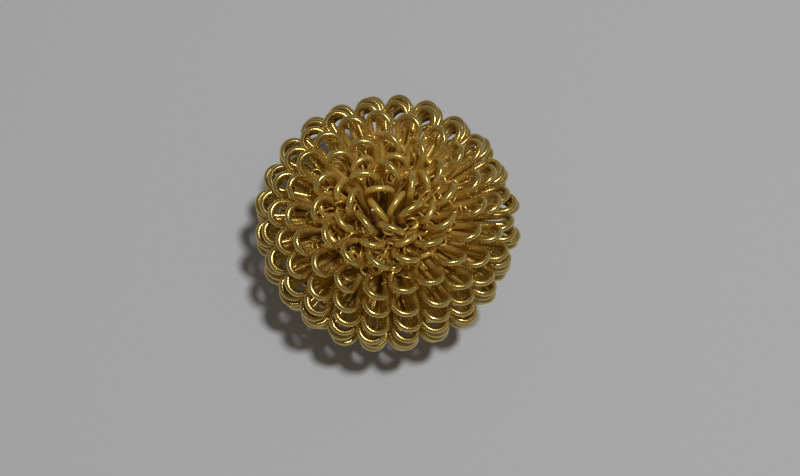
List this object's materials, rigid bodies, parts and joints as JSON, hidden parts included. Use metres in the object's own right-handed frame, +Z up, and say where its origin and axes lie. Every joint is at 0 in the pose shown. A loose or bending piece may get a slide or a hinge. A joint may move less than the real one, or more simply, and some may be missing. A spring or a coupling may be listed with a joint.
{
  "type": "tip cleaning brass",
  "caption": "Flattened ball of looped brass wire for wiping solder and oxide off a hot soldering iron tip.",
  "frame": {"origin": "middle of the ball's box, on the surface that it rests on", "axes": "+Z up through the crown, across the flattened ball; X and Y are any two level directions"},
  "size_m": [0.0482, 0.048, 0.0349],
  "materials": {
    "brass_wire": "satin, fine cross ribs, slightly tarnished",
    "tie_wire": "satin, paler than the coils"
  },
  "bodies": {
    "root": {"coil_strand_01": "brass_wire", "coil_strand_02": "brass_wire", "coil_strand_03": "brass_wire", "coil_strand_04": "brass_wire", "coil_strand_05": "brass_wire", "coil_strand_06": "brass_wire", "coil_strand_07": "brass_wire", "coil_strand_08": "brass_wire", "coil_strand_09": "brass_wire", "coil_strand_10": "brass_wire", "coil_strand_11": "brass_wire", "coil_strand_12": "brass_wire", "coil_strand_13": "brass_wire", "coil_strand_14": "brass_wire", "inner_coil_strand_01": "brass_wire", "inner_coil_strand_02": "brass_wire", "inner_coil_strand_03": "brass_wire", "inner_coil_strand_04": "brass_wire", "tie_wire": "tie_wire"}
  },
  "joints": []
}
